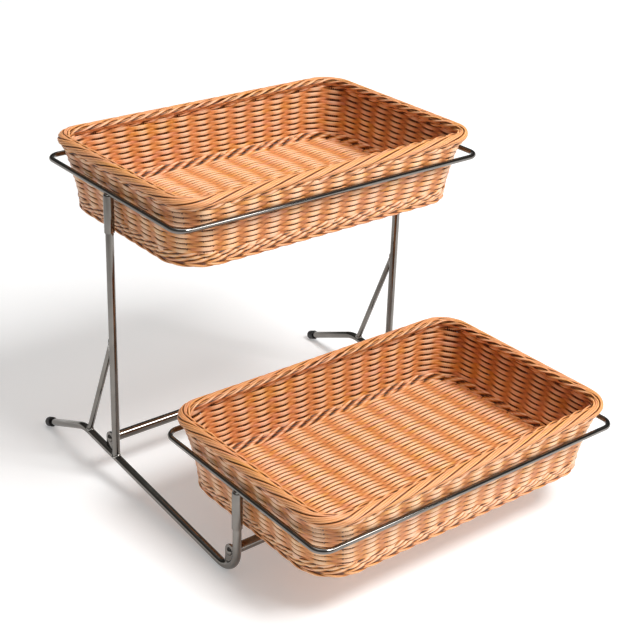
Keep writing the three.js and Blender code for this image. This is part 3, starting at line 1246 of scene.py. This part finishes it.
    def build_stakes(self) -> None:
        """Stands a bundle of thin rods in each column of the wall."""
        levels = np.linspace(*self.stake_span, self.stake_points)
        columns = [self.outline(level).walk(self.stakes) for level in levels]
        strands = []
        for offset in self.stake_rods:
            for stake in range(self.stakes):
                path = []
                for level, (points, ways) in zip(levels, columns):
                    across = np.array((-ways[stake][1], ways[stake][0]))
                    path.append(np.append(points[stake] + across * offset, level))
                # Painted shade darkens the stakes, as they lie deep in the weave.
                strands.append(Strand(np.array(path), np.zeros((len(levels), 3)), self.stake_painted_shade))
        self.piece("stakes", laid(strands, self.stake_cane, False, self.tier.place))

    def rope(self, outline: Outline, level: float, twist: Twist, lag: float = 0.0,
             hand: int = 1) -> List[Strand]:
        """Strands twisted round a path.

        Args:
            outline: Path of the rope seen from above.
            level: Height of the rope's middle.
            twist: How the strands are twisted.
            lag: How far the starts are turned on, in turns.
            hand: 1 or -1 for the way of the twist.

        Returns:
            The strands.
        """
        points, ways = outline.walk(twist.points)
        reach_out, reach_up = twist.reach
        strands = []
        for start in twist.starts:
            turn = hand * twist.turns * np.arange(twist.points) / twist.points
            angle = 2.0 * np.pi * (turn + (lag + start))
            out, up = np.cos(angle), np.sin(angle)
            path = np.column_stack([points + ways * (reach_out * out)[:, None], level + reach_up * up])
            outward = np.column_stack([ways * out[:, None], up])
            # Painted shade: each strand is darkened all over, and more where it turns away into the rope's
            # gaps.
            strands.append(Strand(path, outward, twist.painted_sunk_shade + twist.gap * (1.0 - np.abs(out))))
        return strands

    def build_wales(self) -> None:
        """Twists the waled bands under the rim and at the bottom of the wall."""
        strands = []
        for index, level in enumerate(self.wale_levels):
            strands += self.rope(self.outline(level), level, self.wale, lag=index / 3.0)
        self.piece("wales", laid(strands, self.wale.section, True, self.tier.place))

    def build_floor(self) -> None:
        """Weaves the floor over stakes that run from front to back."""
        edge = self.floor_outline
        rows = int(2.0 * (edge.half_depth - self.floor_margin) / self.floor_pitch)
        samples = self.floor_points
        hand = self.hand()
        strands = []
        for row in range(rows):
            depth = (row - (rows - 1) / 2.0) * self.floor_pitch
            reach = edge.reach(depth)
            x = np.linspace(-reach, reach, samples)
            turn = x / self.floor_stake + 0.5 + row + hand.uniform(-self.lag, self.lag)
            wave = bulge(np.cos(np.pi * turn), self.floor_sharpness)
            drift = depth + self.wander(hand, samples)
            path = np.column_stack([x, drift, self.floor_level + self.floor_sway * wave])
            # Painted light: the strand faces up where it passes over a stake and down where it passes under
            # one, so it gets painted highlight over the stakes and painted shade under them.
            strands.append(Strand(path, np.column_stack([np.zeros((samples, 2)), wave])))
        self.piece("floor_weave", laid(strands, self.floor_cane, False, self.tier.place), ["floor"])
        self.build_floor_stakes()

    def build_floor_stakes(self) -> None:
        """Lays the bundles of rods that the floor is woven over."""
        edge = self.floor_outline
        turned_edge = Outline(edge.half_depth, edge.half_length, edge.corner)
        count = self.floor_stakes
        strands = []
        for index in range(count):
            for offset in self.stake_rods:
                x = (index - (count - 1) / 2.0) * self.floor_stake + offset
                depth = turned_edge.reach(x)
                y = np.linspace(-depth, depth, self.floor_stake_points)
                path = np.column_stack([np.full(len(y), x), y, np.full(len(y), self.floor_level)])
                # Painted shade darkens the floor stakes, as they lie deep in the weave.
                strands.append(Strand(path, np.zeros((len(y), 3)), self.stake_painted_shade))
        self.piece("floor_stakes", laid(strands, self.stake_cane, False, self.tier.place))

    def build_rim(self) -> None:
        """Rolls the border: bundles of strands round a core, and stake ends turned over the inner edge."""
        outline = Outline(self.rim_length, self.rim_length - self.difference, self.rim_corner)
        roll = self.rope(outline, self.rim_level, self.rim_roll)
        self.piece("rim_roll", laid(roll, self.rim_roll.section, True, self.tier.place), ["rim"])
        inner = outline.grown(-self.rim_turns_inset)
        turns = self.rope(inner, self.rim_level + self.rim_turns_lift, self.rim_turns)
        self.piece("rim_turns", laid(turns, self.rim_turns.section, True, self.tier.place))
        core = self.core(outline, self.rim_level)
        self.piece("rim_core", laid([core], self.rim_core, True, self.tier.place))

    def core(self, outline: Outline, level: float) -> Strand:
        """Rod inside a border, as such borders have, darkened with painted shade.

        Args:
            outline: Its path seen from above.
            level: Its height.

        Returns:
            The rod.
        """
        points, _ = outline.walk(self.core_points)
        path = np.column_stack([points, np.full(len(points), level)])
        return Strand(path, np.zeros((len(points), 3)), self.core_painted_shade)

    def build_foot_border(self) -> None:
        """Twists two cords of opposite hand round the bottom edge, which make chevrons."""
        outline = Outline(self.foot_length, self.foot_length - self.difference, self.foot_corner)
        strands = []
        for hand in (1, -1):
            strands += self.rope(outline, self.foot_level + hand * self.foot_lift, self.foot_cord, hand=hand)
        plait = laid(strands, self.foot_cord.section, True, self.tier.place)
        self.piece("foot_plait", plait, ["foot_border"])
        core = self.core(outline, self.foot_level)
        self.piece("foot_core", laid([core], self.foot_core, True, self.tier.place))


@dataclass(frozen=True)
class SoftBox:
    """Rectangular light: where it hangs, its width and height, and its power in watts."""

    name: str
    place: Point
    size: Span
    power: float

    def hang(self, target: Point) -> None:
        """Adds the light to the scene.

        Args:
            target: What it faces.
        """
        light = bpy.data.lights.new(self.name, "AREA")
        light.shape = "RECTANGLE"
        light.size, light.size_y = self.size
        light.energy = self.power
        holder = bpy.data.objects.new(self.name, light)
        bpy.context.scene.collection.objects.link(holder)
        holder.location = self.place
        holder.rotation_euler = (Vector(target) - Vector(self.place)).to_track_quat("-Z", "Y").to_euler()


@dataclass
class Studio:
    """Pale counter, soft lights and the camera at the photograph's angle."""

    counter_half: float = 14.0
    focal_pixels: float = 1397.1
    image: Tuple[int, int] = (641, 636)
    principal: Span = (294.8, 263.5)
    camera_place: Point = (-0.9811, -1.2247, 0.9344)
    azimuth: float = math.radians(37.73)
    elevation: float = math.radians(22.67)
    roll: float = math.radians(0.27)
    lights: Tuple[SoftBox, ...] = (
        SoftBox("key", (0.5, -1.65, 2.6), (1.2, 1.0), 86.0),
        SoftBox("strip", (1.22, -2.1, 1.6), (0.28, 1.0), 11.0),
        SoftBox("top", (0.2, 0.3, 2.6), (1.6, 1.6), 15.0))
    target: Point = (0.0, 0.0, 0.2)
    room: Tuple[Span, ...] = (
        (0.0, 0.72), (0.08, 0.62), (0.20, 0.05), (0.35, 0.04), (0.70, 0.12), (1.0, 0.32))
    room_tint: Point = (1.0, 0.98, 0.95)
    room_strength: float = 1.3

    def build(self) -> None:
        """Sets up the counter, the lights and the camera."""
        self.build_counter()
        self.build_room()
        for light in self.lights:
            light.hang(self.target)
        self.build_camera()

    def build_counter(self) -> None:
        """Lays the counter just under the feet."""
        bm = bmesh.new()
        bmesh.ops.create_grid(bm, x_segments=4, y_segments=4, size=self.counter_half)
        mesh = bpy.data.meshes.new("counter")
        bm.to_mesh(mesh)
        bm.free()
        mesh.materials.append(CounterFinish().material())
        counter = bpy.data.objects.new("counter", mesh)
        bpy.context.scene.collection.objects.link(counter)

    def build_room(self) -> None:
        """Gives the room pale skirting, dark walls and a grey ceiling, which the plating reflects."""
        world = bpy.data.worlds.new("room")
        bpy.context.scene.world = world
        world.use_nodes = True
        nodes, links = world.node_tree.nodes, world.node_tree.links
        place = nodes.new("ShaderNodeTexCoord").outputs["Generated"]
        split = nodes.new("ShaderNodeSeparateXYZ")
        ramp = nodes.new("ShaderNodeValToRGB")
        red, green, blue = self.room_tint
        stops = [(height, (grey * red, grey * green, grey * blue, 1.0)) for height, grey in self.room]
        fill(ramp.color_ramp, stops)
        links.new(place, split.inputs["Vector"])
        links.new(split.outputs["Z"], ramp.inputs["Fac"])
        links.new(ramp.outputs["Color"], nodes["Background"].inputs["Color"])
        nodes["Background"].inputs["Strength"].default_value = self.room_strength

    def build_camera(self) -> None:
        """Places the camera as the photograph was taken."""
        width, height = self.image
        camera = bpy.data.cameras.new("camera")
        camera.sensor_fit = "HORIZONTAL"
        camera.lens = self.focal_pixels * camera.sensor_width / width
        camera.shift_x = (width / 2.0 - self.principal[0]) / width
        camera.shift_y = (self.principal[1] - height / 2.0) / width
        holder = bpy.data.objects.new("camera", camera)
        bpy.context.scene.collection.objects.link(holder)
        forward = Vector((math.sin(self.azimuth) * math.cos(self.elevation),
                          math.cos(self.azimuth) * math.cos(self.elevation), -math.sin(self.elevation)))
        turn = forward.to_track_quat("-Z", "Y") @ Quaternion((0, 0, 1), self.roll)
        holder.location = self.camera_place
        holder.rotation_euler = turn.to_euler()
        bpy.context.scene.camera = holder


def main() -> None:
    """Builds the rack piece by piece, logging each piece's faces, and sets up the studio."""
    logging.basicConfig(level=logging.INFO, format="%(name)s %(message)s")
    shop = Workshop()
    for side in Side:
        SideFrame(side, shop).build()
    front_height, rear_height = SideFrame.bar_heights
    Crossbar("front", SideFrame.setback, front_height, shop).build()
    Crossbar("rear", SideFrame.post_spacing + SideFrame.setback, rear_height, shop).build()
    for tier in Tier:
        BasketRing(tier, shop).build()
        Basket(tier, shop).build()
    Studio().build()
    bpy.context.scene.view_settings.view_transform = "Standard"


if __name__ == "__main__":
    main()
